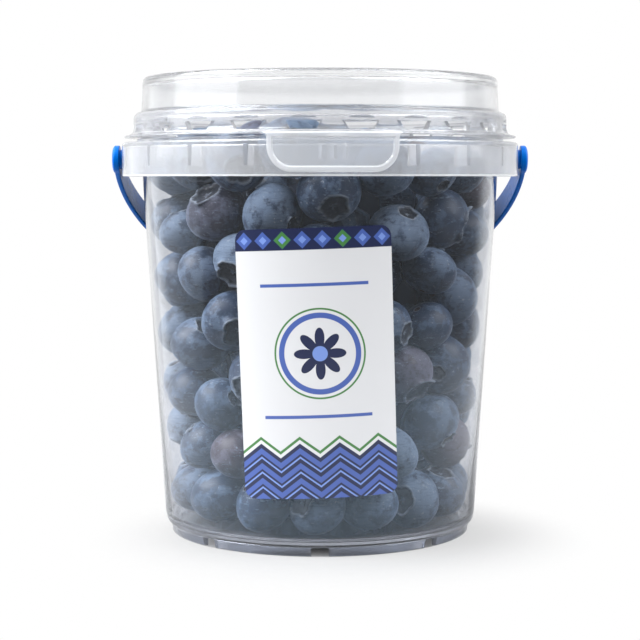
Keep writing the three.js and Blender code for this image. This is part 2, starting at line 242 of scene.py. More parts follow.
def clear_plastic(name, transmission, roughness, ripple_strength, face_tone, edge_tone, edge_power,
                  mirror_tint=(1, 1, 1), lets_by=0.94):
    """Clear moulded plastic, greyer where it is seen edge on, and milky by what it doesn't transmit.

    Its mirror tint colours what it reflects face on. Shadow rays go through, dimmed to the share it lets by.
    """
    made, tree, out = material(name)
    marks = node(tree, "Group", node_tree=moulding)
    marks.inputs["Roughness"].default_value = roughness
    marks.inputs["Ripple"].default_value = ripple_strength
    edge = math_node(tree, "POWER", node(tree, "LayerWeight", {"Blend": 0.5}).outputs["Facing"], edge_power)
    tone = mix_colour(tree, edge, (*face_tone, 1), (*edge_tone, 1))
    plastic = node(tree, "BsdfPrincipled", {
        "Base Color": tone, "Metallic": 0.0, "IOR": 1.49, "Transmission Weight": transmission,
        "Specular Tint": (*mirror_tint, 1), "Roughness": marks.outputs["Roughness"],
        "Normal": marks.outputs["Normal"]})
    through = node(tree, "BsdfTransparent", {"Color": (lets_by, lets_by, lets_by, 1)})
    shadow = node(tree, "LightPath").outputs["Is Shadow Ray"]
    mixed = node(tree, "MixShader", {0: shadow, 1: plastic.outputs[0], 2: through.outputs[0]})
    tree.links.new(mixed.outputs[0], out.inputs["Surface"])
    return made


bucket = piece("bucket_wall", turned(rounded(BUCKET_OUTLINE)))
carved(bucket, "DIFFERENCE", joined([wedge(i * 360 / NOTCHES, **NOTCH) for i in range(NOTCHES)]))
ribs = []
for side in (-1, 1):
    for i in range(RIBS_A_SIDE):
        turn = TAB_TURN_DEG + side * (RIB_FIRST_DEG + i * RIB_STEP_DEG)
        if abs(abs(turn) - 90) > RIB_CLEAR_OF_PIN_DEG:
            ribs.append(wedge(turn, **RIB))
carved(bucket, "UNION", joined(ribs))
pin_holes = [turned_along_x(PIN_HOLE_OUTLINE, side, PIN_HOLE_SIDES) for side in (1, -1)]
carved(bucket, "DIFFERENCE", joined(pin_holes))
smoothed(bucket)
BUCKET_PLASTICS = {
    "bucket plastic": {
        "transmission": 0.992, "roughness": 0.01, "ripple_strength": 0.02, "edge_power": 1.3,
        "face_tone": (0.935, 0.958, 1.0), "edge_tone": (0.52, 0.525, 0.545),
        "mirror_tint": (0.62, 0.81, 1.0)},
    "collar plastic": {
        "transmission": 0.79, "roughness": 0.15, "ripple_strength": 0.01, "edge_power": 2.5,
        "face_tone": (0.80, 0.81, 0.835), "edge_tone": (0.62, 0.635, 0.66)},
    # The foot's dark tone is painted shade: the shade under the bucket, seen through the ring.
    "foot plastic with painted shade": {
        "transmission": 0.94, "roughness": 0.12, "ripple_strength": 0.01, "edge_power": 1.5,
        "face_tone": (0.45, 0.48, 0.555), "edge_tone": (0.33, 0.35, 0.40)},
    "rib plastic": {
        "transmission": 0.80, "roughness": 0.15, "ripple_strength": 0.01, "edge_power": 2.5,
        "face_tone": (0.90, 0.91, 0.93), "edge_tone": (0.74, 0.75, 0.78)},
    # The collar's bottom edge is whiter, milkier plastic: a painted highlight of the light caught along that
    # edge.
    "collar edge painted highlight plastic": {
        "transmission": 0.35, "roughness": 0.15, "ripple_strength": 0.01, "edge_power": 2.5,
        "face_tone": (0.96, 0.965, 0.975), "edge_tone": (0.90, 0.905, 0.92)},
}
COLLAR, FOOT, RIBS, COLLAR_EDGE_HIGHLIGHT = 1, 2, 3, 4
COLLAR_FROM_RADIUS = 57.7
COLLAR_EDGE_TOP = 106.5
COLLAR_ROOF_FROM = 114.4
FOOT_TOP = 5.7
FOOT_FROM_RADIUS = 40
RIBS_FROM_RADIUS = 53.8
RIBS_FROM_HEIGHT = 105
for name, values in BUCKET_PLASTICS.items():
    bucket.data.materials.append(clear_plastic(name, **values))
for face in bucket.data.polygons:
    out, height = math.hypot(face.center.x, face.center.y) / MM, face.center.z / MM
    # The collar's bottom edge takes the painted highlight.
    if out > COLLAR_FROM_RADIUS and height < COLLAR_EDGE_TOP:
        face.material_index = COLLAR_EDGE_HIGHLIGHT
    elif height > COLLAR_ROOF_FROM or out > COLLAR_FROM_RADIUS:
        face.material_index = COLLAR
    # The foot ring takes the plastic darkened with painted shade.
    elif height < FOOT_TOP and out > FOOT_FROM_RADIUS:
        face.material_index = FOOT
    elif out > RIBS_FROM_RADIUS and height > RIBS_FROM_HEIGHT:
        face.material_index = RIBS
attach(bucket, "bucket")
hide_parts("bucket")


# Blueberries: fresh fruit, poured in and settled, pressed against the wall. Each berry has a waxy bloom,
# a lobed crown at its flower end and a small scar where the stem was. A dark core fills the unseen middle.
BERRY_COUNT = 226
BERRY_SEED = 7321
AGE_SEED = 37281
BERRY_RADII = (7.5, 9.2)
BERRY_FLATNESS = 0.86
BERRY_GAP = 0.3
BERRY_PACKING = 0.95
POUR_PITCH = 0.7
POUR_SPREAD = 36
SETTLE_STEPS = 700
SETTLE_SINK = 0.6
REST_STEPS = 300
PUSH_SHARE = 0.4
GRID = 1e6
SHOWING_DEPTH = 5
WALL_CLEARANCE = 0.12
FLOOR_CLEARANCE = 0.1
HEART_RADIUS = 25
NEAR_COLUMNS, NEAR_BELTS = 28, 12
FAR_COLUMNS, FAR_BELTS = 10, 4
CROWN_OUT_SHARE = 0.9
DRAW_FACTOR, DRAW_RANGE = 16807, 2147483647


def wall_radius(height):
    """The outer radius of the bucket's tapered wall."""
    rise = (height - WALL_FOOT[1]) / (WALL_HEAD[1] - WALL_FOOT[1])
    return WALL_FOOT[0] + rise * (WALL_HEAD[0] - WALL_FOOT[0])


def draws_from(seed):
    """Draws between 0 and 1, in a fixed order."""
    while True:
        seed = seed * DRAW_FACTOR % DRAW_RANGE
        yield seed / DRAW_RANGE


def settled():
    """Each berry's radius, resting place and lean. The berries sink a little at a time, and push apart."""
    draw = draws_from(BERRY_SEED)
    radius, at = np.empty(BERRY_COUNT), np.empty((BERRY_COUNT, 3))
    for i in range(BERRY_COUNT):
        radius[i] = BERRY_RADII[0] + (BERRY_RADII[1] - BERRY_RADII[0]) * next(draw)
        at[i, :2] = [POUR_SPREAD * (2 * next(draw) - 1) for _ in range(2)]
        at[i, 2] = FLOOR_TOP + 2 * BERRY_RADII[1] + i * POUR_PITCH
    taper = (WALL_HEAD[0] - WALL_FOOT[0]) / (WALL_HEAD[1] - WALL_FOOT[1])
    slant = math.sqrt(1 + taper * taper)
    reach = BERRY_PACKING * (radius[:, None] + radius)
    np.fill_diagonal(reach, 0)
    for step in range(SETTLE_STEPS + REST_STEPS):
        apart = at[:, None] - at
        distance = np.sqrt((apart ** 2).sum(axis=2))
        np.fill_diagonal(distance, 1)
        push = PUSH_SHARE * np.maximum(reach - distance, 0) / distance
        at = at + np.einsum("ij,ijk->ik", push, apart)
        sink = SETTLE_SINK * max(0, 1 - step / SETTLE_STEPS)
        at[:, 2] = np.maximum(at[:, 2] - sink, FLOOR_TOP + BERRY_GAP + radius)
        inside = np.minimum(wall_radius(at[:, 2]), WALL_HEAD[0]) - WALL_THICKNESS
        room = inside - slant * (radius + BERRY_GAP)
        out = np.sqrt(at[:, 0] ** 2 + at[:, 1] ** 2)
        at[:, :2] *= np.minimum(1, room / out)[:, None]
        at = np.round(at * GRID) / GRID
    lean = 2 * math.pi * np.array([[next(draw) for _ in range(3)] for _ in range(BERRY_COUNT)])
    return radius, at, lean


def turning(tip, roll, spin):
    """The rotation that spins a berry about Y, tips it about X and rolls it about Z."""
    cosine, sine = math.cos(spin), math.sin(spin)
    about_y = np.array([[cosine, 0, sine], [0, 1, 0], [-sine, 0, cosine]])
    cosine, sine = math.cos(tip), math.sin(tip)
    about_x = np.array([[1, 0, 0], [0, cosine, -sine], [0, sine, cosine]])
    cosine, sine = math.cos(roll), math.sin(roll)
    about_z = np.array([[cosine, -sine, 0], [sine, cosine, 0], [0, 0, 1]])
    return about_z @ about_x @ about_y


def berry(radius, vary, columns, belts):
    """One berry with its crown up along Y: vertices, and the crown's and the scar's share at each.

    A row is a ring: how far out, how high, how much its lobes stand up, and its crown's and scar's shares.
    """
    crown = vary.uniform(0.25, 0.52)
    depth = vary.uniform(0.10, 0.17)
    stand = vary.uniform(0.05, 0.12)
    rim = math.sqrt(1 - crown * crown)
    skirt = 1.22 * crown
    rows = [
        (0.0, rim - 0.75 * depth, 0, 0.7, 0),
        (0.12 * crown, rim - 0.8 * depth, 0, 0.75, 0),
        (0.22 * crown, rim - depth, 0, 1, 0),
        (0.62 * crown, rim - 0.95 * depth, 0, 0.95, 0),
        (0.80 * crown, rim - 0.8 * depth, 0.1, 1, 0),
        (0.92 * crown, rim - 0.2 * depth, 0.5, 0.75, 0),
        (1.00 * crown, rim, 1, 0.45, 0),
        (1.07 * crown, rim - 0.01, 0.9, 0.3, 0),
        (1.12 * crown, math.sqrt(1 - (1.12 * crown) ** 2), 0.1, 0.24, 0),
    ]
    for angle in np.linspace(math.asin(skirt), math.pi - math.asin(0.2), belts):
        rows.append((math.sin(angle), math.cos(angle), 0, 0, 0))
    rows += [(0.14, -0.99, 0, 0, 0.35), (0.10, -0.95, 0, 0, 1), (0.0, -0.92, 0, 0, 1)]
    across, up, lift, crowned, scarred = np.array(rows).T[:, :, None]
    turn = np.arange(columns) * 2 * math.pi / columns
    lobe_size = vary.uniform(0.4, 1.3, 5)
    lobes = np.abs(np.cos(2.5 * turn)) ** 0.7 * lobe_size[np.round(2.5 * turn / math.pi).astype(int) % 5]
    lobes = lobes * vary.uniform(0.7, 1.15, columns)
    across = across + (0.55 * stand * lift + 0.26 * crown * (crowned > 0.2) * (across > 0)) * (lobes - 0.4)
    up = up + stand * lift * (lobes - 0.3)
    phase = vary.uniform(0, 2 * math.pi, 3)
    swell = 1 + 0.02 * np.sin(2 * turn + phase[0]) + 0.012 * np.sin(3 * turn + phase[1] + 2 * up)
    flatness = BERRY_FLATNESS * vary.uniform(0.97, 1.05)
    grid = np.stack([radius * across * swell * np.cos(turn), radius * flatness * up + 0 * turn,
                     radius * across * swell * np.sin(turn)], axis=-1)
    used = slice(columns - 1, 1 - columns)
    shares = [np.broadcast_to(mask, grid.shape[:2]).reshape(-1)[used] for mask in (crowned, scarred)]
    return grid.reshape(-1, 3)[used], *shares


def ring_faces(count, columns):
    """Faces over a first point, rings of vertices and a last point, as many vertices as the count says."""
    faces = []
    last = count - 1
    for i in range(columns):
        j = (i + 1) % columns
        faces.append((0, 1 + j, 1 + i))
        faces.append((last - columns + i, last - columns + j, last))
        for low in range(1, last - columns, columns):
            faces.append((low + i, low + j, low + columns + j, low + columns + i))
    return faces


radii, places, leans = settled()
vary = np.random.default_rng(BERRY_SEED)
aged = np.random.default_rng(AGE_SEED).random(BERRY_COUNT)
vertices, faces, crowns, scars, tints, ages = [], [], [], [], [], []
count = 0
for radius, at, lean, age in zip(radii, places, leans, aged):
    beside = np.hypot(*(places[:, :2] - at[:2]).T)
    covered = np.any((places[:, 2] > at[2] + radius) & (beside < radius))
    from_axis = math.hypot(at[0], at[1])
    near = from_axis + radius > wall_radius(at[2]) - WALL_THICKNESS - SHOWING_DEPTH or not covered
    columns, belts = (NEAR_COLUMNS, NEAR_BELTS) if near else (FAR_COLUMNS, FAR_BELTS)
    shape, crowned, scarred = berry(radius, vary, columns, belts)
    turn = turning(*lean)
    outward = at * (1, 1, 0) if from_axis > HEART_RADIUS else np.array((0, 0, 1))
    if turn[:, 1] @ outward < 0 and vary.random() < CROWN_OUT_SHARE:
        shape = shape * (1, -1, -1)
    shape = shape @ turn.T + at
    limit = np.minimum(wall_radius(shape[:, 2]) - WALL_THICKNESS, MOUTH) - WALL_CLEARANCE
    out = np.hypot(shape[:, 0], shape[:, 1])
    shape[:, :2] *= np.minimum(1, limit / out)[:, None]
    shape[:, 2] = np.maximum(shape[:, 2], FLOOR_TOP + FLOOR_CLEARANCE)
    faces.extend([tuple(count + v for v in face) for face in ring_faces(len(shape), columns)])
    count += len(shape)
    vertices.append(shape)
    crowns.append(crowned)
    scars.append(scarred)
    tints.append(np.full(len(shape), vary.random()))
    ages.append(np.full(len(shape), age))

berries = piece("heaped_berries", (np.concatenate(vertices), faces))
for name, values in {"crown": crowns, "scar": scars, "tint": tints, "age": ages}.items():
    layer = berries.data.attributes.new(name, "FLOAT", "POINT")
    layer.data.foreach_set("value", np.concatenate(values).astype(np.float32))
berries.data.shade_smooth()


def ranged(tree, value, low, high, to_low=0.0, to_high=1.0):
    """A value spread from one range to another, held at both ends."""
    return node(tree, "MapRange", {"Value": value, "From Min": low, "From Max": high, "To Min": to_low,
                                   "To Max": to_high}, interpolation_type="SMOOTHSTEP").outputs["Result"]


def attribute(tree, name):
    """A mesh attribute's value."""
    return node(tree, "Attribute", attribute_name=name).outputs["Fac"]


def product(tree, first, second):
    """Two values multiplied."""
    return math_node(tree, "MULTIPLY", first, second)


skin, tree, out = material("blueberry skin")
tint, age = attribute(tree, "tint"), attribute(tree, "age")
crowned, scarred = attribute(tree, "crown"), attribute(tree, "scar")
apart = node(tree, "CombineXYZ", {"X": tint, "Y": age, "Z": product(tree, tint, 3.0)}).outputs[0]
place = node(tree, "VectorMath", {0: node(tree, "TexCoord").outputs["Object"], 1: apart}).outputs[0]
blotch = node(tree, "TexNoise", {"Vector": place, "Scale": 240.0, "Detail": 6.0,
                                 "Roughness": 0.62}).outputs["Fac"]
speck = node(tree, "TexNoise", {"Vector": place, "Scale": 1100.0, "Detail": 2.0}).outputs["Fac"]
combed = node(tree, "Mapping", {"Vector": place, "Scale": (300.0, 420.0, 1900.0),
                                "Rotation": (0.6, 0.4, 0.2)})
rub = node(tree, "TexNoise", {"Vector": combed.outputs[0], "Scale": 1.0, "Detail": 2.0}).outputs["Fac"]
old = ranged(tree, age, 0.82, 0.95)
fresh = mix_colour(tree, tint, (0.158, 0.230, 0.352, 1), (0.212, 0.285, 0.408, 1))
wax = mix_colour(tree, old, fresh, (0.185, 0.165, 0.215, 1))
bare = mix_colour(tree, old, (0.022, 0.042, 0.088, 1), (0.050, 0.032, 0.045, 1))
waxed = ranged(tree, math_node(tree, "MULTIPLY_ADD", tint, 0.20, blotch), 0.50, 0.68)
scuffed = product(tree, waxed, ranged(tree, rub, 0.30, 0.46, 0.6, 1.0))
colour = mix_colour(tree, scuffed, bare, wax)
scratch = product(tree, ranged(tree, rub, 0.62, 0.68), ranged(tree, speck, 0.40, 0.60))
colour = mix_colour(tree, product(tree, scratch, 0.7), colour, (0.30, 0.37, 0.47, 1))
torn = product(tree, ranged(tree, crowned, 0.12, 0.4), ranged(tree, rub, 0.36, 0.58, 0.25, 1.0))
colour = mix_colour(tree, torn, colour, (0.40, 0.45, 0.53, 1))
# Pale flecks: dust, and painted glints.
dust_and_painted_glint = product(tree, ranged(tree, speck, 0.65, 0.71), ranged(tree, blotch, 0.45, 0.6, 0.1, 0.8))
colour = mix_colour(tree, dust_and_painted_glint, colour, (0.48, 0.54, 0.62, 1))
dried = mix_colour(tree, ranged(tree, speck, 0.35, 0.65),
                   (0.007, 0.010, 0.019, 1), (0.028, 0.032, 0.047, 1))
colour = mix_colour(tree, ranged(tree, crowned, 0.6, 0.95), colour, dried)
colour = mix_colour(tree, ranged(tree, scarred, 0.1, 0.4), colour, (0.22, 0.24, 0.29, 1))
colour = mix_colour(tree, ranged(tree, scarred, 0.5, 0.9), colour, (0.060, 0.034, 0.032, 1))
height = math_node(tree, "MULTIPLY_ADD", speck, 0.08, blotch)
relief = node(tree, "Bump", {"Strength": 0.2, "Distance": 0.0005, "Height": height})
flesh = node(tree, "BsdfPrincipled", {
    "Base Color": colour, "Roughness": ranged(tree, scuffed, 0.0, 1.0, 0.38, 0.70),
    "Normal": relief.outputs[0], "Specular IOR Level": 0.4,
    "Sheen Weight": ranged(tree, crowned, 0.3, 0.8, 0.45, 0.02), "Sheen Roughness": 0.3,
    "Sheen Tint": (0.62, 0.76, 1.0, 1)})
tree.links.new(flesh.outputs[0], out.inputs["Surface"])
berries.data.materials.append(skin)
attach(berries, "bucket")
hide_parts("blueberries")

CORE_OUTLINE = [(0, 14, 0), (28, 14, 4), (34, 103, 6), (20, 106, 4), (0, 106, 0)]
CORE_SIDES = 48
core = piece("berry_core", turned(rounded(CORE_OUTLINE), CORE_SIDES))
smoothed(core)
dark, tree, out = material("berry shadow")
place = node(tree, "TexCoord").outputs["Object"]
lump = node(tree, "TexNoise", {"Vector": place, "Scale": 90.0, "Detail": 3.0}).outputs["Fac"]
shade = mix_colour(tree, lump, (0.007, 0.012, 0.028, 1), (0.022, 0.033, 0.065, 1))
dull = node(tree, "BsdfPrincipled", {"Base Color": shade, "Roughness": 0.8})
tree.links.new(dull.outputs[0], out.inputs["Surface"])
core.data.materials.append(dark)
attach(core, "bucket")
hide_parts("blueberries")


# Lid: clear polypropylene, moulded and pressed over the rim. A cap with a stacking rim stands on a shoulder
# with vents under shallow dimples, and a pull tab with a raised border and grip bars hangs from the lip.
LID_OUTLINE = [
    (53.3, 117.35, 0.2),
    (58.3, 117.35, 0.15),
    (58.3, 117.85, 0.2),
    (55.5, 118.5, 1.8),
    (55.5, 124.8, 2.0),
    (53.2, 124.8, 0.7),
    (52.7, 135.2, 1.6),
    (49.1, 135.2, 0.5),
    (49.1, 134.0, 0.4),
    (0, 134.0, 0),
    (0, 132.9, 0),
    (50.5, 132.9, 1.4),
    (51.0, 122.6, 0.4),
    (53.3, 122.6, 0.6),
]
LID_ROUNDING_STEPS = 8
VENTS = 22
VENT = {"from_radius": 51.5, "to_radius": 58, "bottom": 118.7, "top": 121.1,
        "foot_width": 7, "head_width": 10}
DIMPLE = {"radius": 56.0, "depth": 1.1, "half_width": 4.4, "height": 0.9, "foot": 121.7}
TAB_WIDTH = 36
TAB_BOTTOM = 107.1
TAB_TOP = 117.85
TAB_CORNER = 7
TAB_FLARE = 1.4
TAB_INNER_RADIUS = 59.35
TAB_THICKNESS = 1.35
TAB_BORDER = 1.3
TAB_RECESS = 0.5
TAB_EDGE_SOFTNESS = 0.35
TAB_EDGE_REACH = 0.5
RECESS_SLOPE = 0.4
GRIP_BARS = 3
GRIP_BAR = {"width": 1.2, "height": 4.0, "pitch": 3.2, "relief": 0.35, "slope": 0.3}
LEDGE = {"from_radius": 54.6, "to_radius": 60.0, "bottom": 117.35, "inset": 0.3}


def tab_edge(along, height):
    """How far a place on the tab lies in from its rim."""
    into = abs(along) - (TAB_WIDTH / 2 - TAB_CORNER)
    under = TAB_BOTTOM + TAB_CORNER - height
    if into > 0 and under > 0:
        return TAB_CORNER - math.hypot(into, under)
    return min(TAB_WIDTH / 2 - abs(along), height - TAB_BOTTOM, TAB_TOP - height)


def tab_face(along, height):
    """How far the tab's face stands out from its back: a soft rim, a border, a recess and grip bars."""
    edge = tab_edge(along, height)
    face = TAB_THICKNESS - TAB_EDGE_SOFTNESS * max(0, 1 - edge / TAB_EDGE_REACH) ** 2
    face -= TAB_RECESS * min(1, max(0, (edge - TAB_BORDER) / RECESS_SLOPE))
    for i in range(GRIP_BARS):
        off = abs(along - (i - (GRIP_BARS - 1) / 2) * GRIP_BAR["pitch"]) - GRIP_BAR["width"] / 2
        tall = abs(height - (TAB_BOTTOM + TAB_TOP) / 2) - GRIP_BAR["height"] / 2
        face += GRIP_BAR["relief"] * min(1, max(0, -max(off, tall) / GRIP_BAR["slope"]))
    return face


def sheet_faces(columns, rows):
    """Faces of a closed sheet: a grid of vertices for its back, one for its front, and the rim between."""
    per_row, per_layer = columns + 1, (columns + 1) * (rows + 1)
    faces = []
    for row in range(rows):
        for a in range(row * per_row, row * per_row + columns):
            corners = (a, a + per_row, a + per_row + 1, a + 1)
            faces.append(corners)
            faces.append(tuple(per_layer + v for v in reversed(corners)))
    rim = [row * per_row for row in range(rows, 0, -1)] + list(range(columns))
    rim += [row * per_row + columns for row in range(rows)]
    rim += [rows * per_row + column for column in range(columns, 0, -1)]
    for a, b in zip(rim, rim[1:] + rim[:1]):
        faces.append((a, b, per_layer + b, per_layer + a))
    return faces


def tab_solid(columns=120, rows=56):
    """The hanging tab, bent round the collar, with a flare at each side where it meets the lip."""
    half = TAB_WIDTH / 2
    vertices = []
    for layer in (0, 1):
        for row in range(rows + 1):
            for column in range(columns + 1):
                along = half * -math.cos(math.pi * column / columns)
                into = max(0, abs(along) - (half - TAB_CORNER))
                low = TAB_BOTTOM + TAB_CORNER - math.sqrt(max(0, TAB_CORNER ** 2 - into ** 2))
                height = low + (TAB_TOP - low) * row / rows
                radius = TAB_INNER_RADIUS + layer * tab_face(along, height)
                flare = TAB_FLARE * max(0, 1 - (TAB_TOP - height) / TAB_FLARE) ** 2
                wide = along * (1 + flare / half)
                turn = math.radians(TAB_TURN_DEG) + wide / (TAB_INNER_RADIUS + TAB_THICKNESS / 2)
                vertices.append((radius * math.sin(turn), -radius * math.cos(turn), height))
    return vertices, sheet_faces(columns, rows)


def ledge_solid(columns=40):
    """The short shelf from the lip out to the top of the tab."""
    near, far, bottom = LEDGE["from_radius"], LEDGE["to_radius"], LEDGE["bottom"]
    corners = [(near, bottom), (far, bottom), (far, TAB_TOP), (near, TAB_TOP)]
    half = (TAB_WIDTH / 2 + TAB_FLARE - LEDGE["inset"]) / far
    vertices = []
    for turn in math.radians(TAB_TURN_DEG) + np.linspace(-half, half, columns + 1):
        for radius, height in corners:
            vertices.append((radius * math.sin(turn), -radius * math.cos(turn), height))
    faces = [(3, 2, 1, 0), tuple(4 * columns + i for i in range(4))]
    for column in range(columns):
        for i in range(4):
            j = (i + 1) % 4
            faces.append((4 * column + i, 4 * column + j, 4 * column + 4 + j, 4 * column + 4 + i))
    return vertices, faces


def dimple(turn_deg, sides=28, rings=9):
    """A lens with a flat foot, to cut a shallow dimple above a vent."""
    turn = math.radians(turn_deg)
    out = np.array((math.sin(turn), -math.cos(turn)))
    side = np.array((math.cos(turn), math.sin(turn)))
    vertices = []
    for ring in range(rings + 1):
        pitch = math.pi * ring / rings
        for i in range(1 if ring in (0, rings) else sides):
            across = math.sin(pitch) * math.cos(2 * math.pi * i / sides)
            high = max(0, math.sin(pitch) * math.sin(2 * math.pi * i / sides))
            radius = DIMPLE["radius"] + DIMPLE["depth"] * math.cos(pitch)
            at = radius * out + DIMPLE["half_width"] * across * side
            vertices.append((*at, DIMPLE["foot"] + DIMPLE["height"] * high))
    return vertices, ring_faces(len(vertices), sides)


vent_turns = [TAB_TURN_DEG + (i + 0.5) * 360 / VENTS for i in range(VENTS)]
lid = piece("lid_cap", turned(rounded(LID_OUTLINE, LID_ROUNDING_STEPS)))
carved(lid, "DIFFERENCE", joined([wedge(turn, **VENT) for turn in vent_turns]))
carved(lid, "DIFFERENCE", joined([dimple(turn) for turn in vent_turns]))
carved(lid, "UNION", ledge_solid())
carved(lid, "UNION", tab_solid())
smoothed(lid)
LID_PLASTICS = {
    "lid plastic": {
        "transmission": 0.95, "roughness": 0.10, "ripple_strength": 0.008, "edge_power": 1.5,
        "face_tone": (0.966, 0.970, 0.979), "edge_tone": (0.73, 0.735, 0.75), "lets_by": 0.70},
    "tab plastic": {
        "transmission": 0.78, "roughness": 0.15, "ripple_strength": 0.01, "edge_power": 2.5,
        "face_tone": (0.83, 0.85, 0.885), "edge_tone": (0.67, 0.69, 0.73)},
    "tab border plastic": {
        "transmission": 0.68, "roughness": 0.15, "ripple_strength": 0.01, "edge_power": 2.5,
        "face_tone": (0.90, 0.91, 0.93), "edge_tone": (0.74, 0.76, 0.79)},
    "shoulder plastic": {
        "transmission": 0.88, "roughness": 0.15, "ripple_strength": 0.01, "edge_power": 1.5,
        "face_tone": (0.78, 0.79, 0.82), "edge_tone": (0.54, 0.55, 0.58), "lets_by": 0.70},
    "rim plastic": {
        "transmission": 0.94, "roughness": 0.10, "ripple_strength": 0.002, "edge_power": 1.0,
        "face_tone": (0.92, 0.925, 0.935), "edge_tone": (0.34, 0.345, 0.365), "lets_by": 0.70},
}
TAB, TAB_RIM, SHOULDER, CAP_RIMS = 1, 2, 3, 4
TAB_MARGIN = 0.2
SHOULDER_TOP = 124.4
LOW_RIM_TOP = 125.6
HIGH_RIM_FROM = 133.4
HIGH_RIM_FROM_RADIUS = 48
for name, values in LID_PLASTICS.items():
    lid.data.materials.append(clear_plastic(name, **values))
for face in lid.data.polygons:
    x, y, height = face.center / MM
    out = math.hypot(x, y)
    along = (math.atan2(x, -y) - math.radians(TAB_TURN_DEG)) * TAB_INNER_RADIUS
    on_tab = out > TAB_INNER_RADIUS - TAB_MARGIN
    if on_tab and tab_edge(along, height) < TAB_BORDER + TAB_MARGIN:
        face.material_index = TAB_RIM
    elif on_tab:
        face.material_index = TAB
    elif height < SHOULDER_TOP:
        face.material_index = SHOULDER
    elif height < LOW_RIM_TOP or (height > HIGH_RIM_FROM and out > HIGH_RIM_FROM_RADIUS):
        face.material_index = CAP_RIMS
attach(lid, "bucket")
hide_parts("lid")


# Label: a printed film with a gloss varnish, stuck to the front of the wall about two degrees askew. The
# print is a white field between a narrow band of diamonds and a deep field of chevrons, with a rosette in a
# ring and a rule above and below it.
LABEL_WIDTH = 44
LABEL_HEIGHT = 75
LABEL_CORNER = 3
LABEL_CENTRE = (-0.85, 54.6)
LABEL_TILT_DEG = 2.1
LABEL_GAP = 0.12
LABEL_THICKNESS = 0.2
LABEL_COLUMNS, LABEL_ROWS = 48, 60
HEAD_BAND_FOOT = 31.6
DIAMOND_PITCH = 5.5
DIAMOND_ROW = 34.4
DIAMOND_REACH, DIAMOND_HEART = 2.4, 1.1
FOOT_FIELD_DEPTH = 26.0
ZIGZAG_SLOPE = 0.75
CHEVRON_PITCH = 4.2
CHEVRON, CHEVRON_FINE = (2.1, 0.85), (0.2, 0.35)
SPRIG_LINE = (1.5, 0.45)
ROSETTE_CENTRE = (1.0, 3.0)
PETAL_REACH, PETAL_ROOT = 4.2, 3.0
ROSETTE_HEART = 2.1
RING, FINE_RING = (10.6, 0.75), (12.4, 0.25)
RULES = (22.0, -14.5)
RULE_HALF_HEIGHT, RULE_HALF_LENGTH = 0.45, 15.0

vertices, sheet_places = [], []
tilt = math.radians(LABEL_TILT_DEG)
for layer in (0, 1):
    for row in range(LABEL_ROWS + 1):
        for column in range(LABEL_COLUMNS + 1):
            along = LABEL_WIDTH / 2 * -math.cos(math.pi * column / LABEL_COLUMNS)
            into = max(0, abs(along) - (LABEL_WIDTH / 2 - LABEL_CORNER))
            half = LABEL_HEIGHT / 2 - LABEL_CORNER + math.sqrt(max(0, LABEL_CORNER ** 2 - into ** 2))
            up = half * (2 * row / LABEL_ROWS - 1)
            arc = LABEL_CENTRE[0] + along * math.cos(tilt) - up * math.sin(tilt)
            height = LABEL_CENTRE[1] + along * math.sin(tilt) + up * math.cos(tilt)
            radius = wall_radius(height) + LABEL_GAP + LABEL_THICKNESS * layer
            turn = arc / (wall_radius(height) + LABEL_GAP + LABEL_THICKNESS / 2)
            vertices.append((radius * math.sin(turn), -radius * math.cos(turn), height))
            sheet_places.append((along, up, 0))
label = piece("front_label", (vertices, sheet_faces(LABEL_COLUMNS, LABEL_ROWS)))
layer = label.data.attributes.new("sheet", "FLOAT_VECTOR", "POINT")
layer.data.foreach_set("vector", np.array(sheet_places, np.float32).reshape(-1))
smoothed(label)

film, tree, out = material("label film")
sheet = node(tree, "Attribute", attribute_name="sheet").outputs["Vector"]
split = node(tree, "SeparateXYZ", {"Vector": sheet})
along, up = split.outputs["X"], split.outputs["Y"]
PAPER = (0.665, 0.665, 0.675, 1)
NAVY = (0.006, 0.012, 0.055, 1)
BLUE = (0.055, 0.105, 0.36, 1)
PALE_BLUE = (0.17, 0.27, 0.62, 1)
GREEN = (0.05, 0.19, 0.045, 1)


def inside(value, edge, soft=0.06):
    """1 where a value is under an edge, else 0, with a soft step between."""
    return node(tree, "MapRange", {"Value": value, "From Min": edge - soft, "From Max": edge + soft,
                                   "To Min": 1.0, "To Max": 0.0}).outputs["Result"]


def calc(operation, *values):
    """A math node of the label's print."""
    return math_node(tree, operation, *values)


def both(*shares):
    """The product of shares."""
    result = shares[0]
    for share in shares[1:]:
        result = calc("MULTIPLY", result, share)
    return result


def off(value, place):
    """How far a value lies from a place, to either side."""
    return calc("ABSOLUTE", calc("SUBTRACT", value, place))


def stripe(value, middle, half):
    """1 where a value lies within a half width of a middle."""
    return inside(off(value, middle), half)


in_diamond = off(calc("FLOORED_MODULO", along, DIAMOND_PITCH), DIAMOND_PITCH / 2)
from_diamond = calc("ADD", in_diamond, off(up, DIAMOND_ROW))
diamond = inside(from_diamond, DIAMOND_REACH)
diamond_heart = inside(from_diamond, DIAMOND_HEART)
in_three = calc("FLOORED_MODULO", along, 3 * DIAMOND_PITCH)
every_third = stripe(in_three, 1.5 * DIAMOND_PITCH, DIAMOND_PITCH / 2)
head_band = inside(calc("SUBTRACT", HEAD_BAND_FOOT, up), 0.0)
zigzag = calc("MULTIPLY", calc("PINGPONG", along, DIAMOND_PITCH), ZIGZAG_SLOPE)
below = calc("SUBTRACT", calc("ADD", up, FOOT_FIELD_DEPTH), zigzag)
foot_field = inside(below, 0.0)
in_chevron = calc("FLOORED_MODULO", below, CHEVRON_PITCH)
chevron, chevron_fine = stripe(in_chevron, *CHEVRON), stripe(in_chevron, *CHEVRON_FINE)
sprig_line = stripe(below, *SPRIG_LINE)
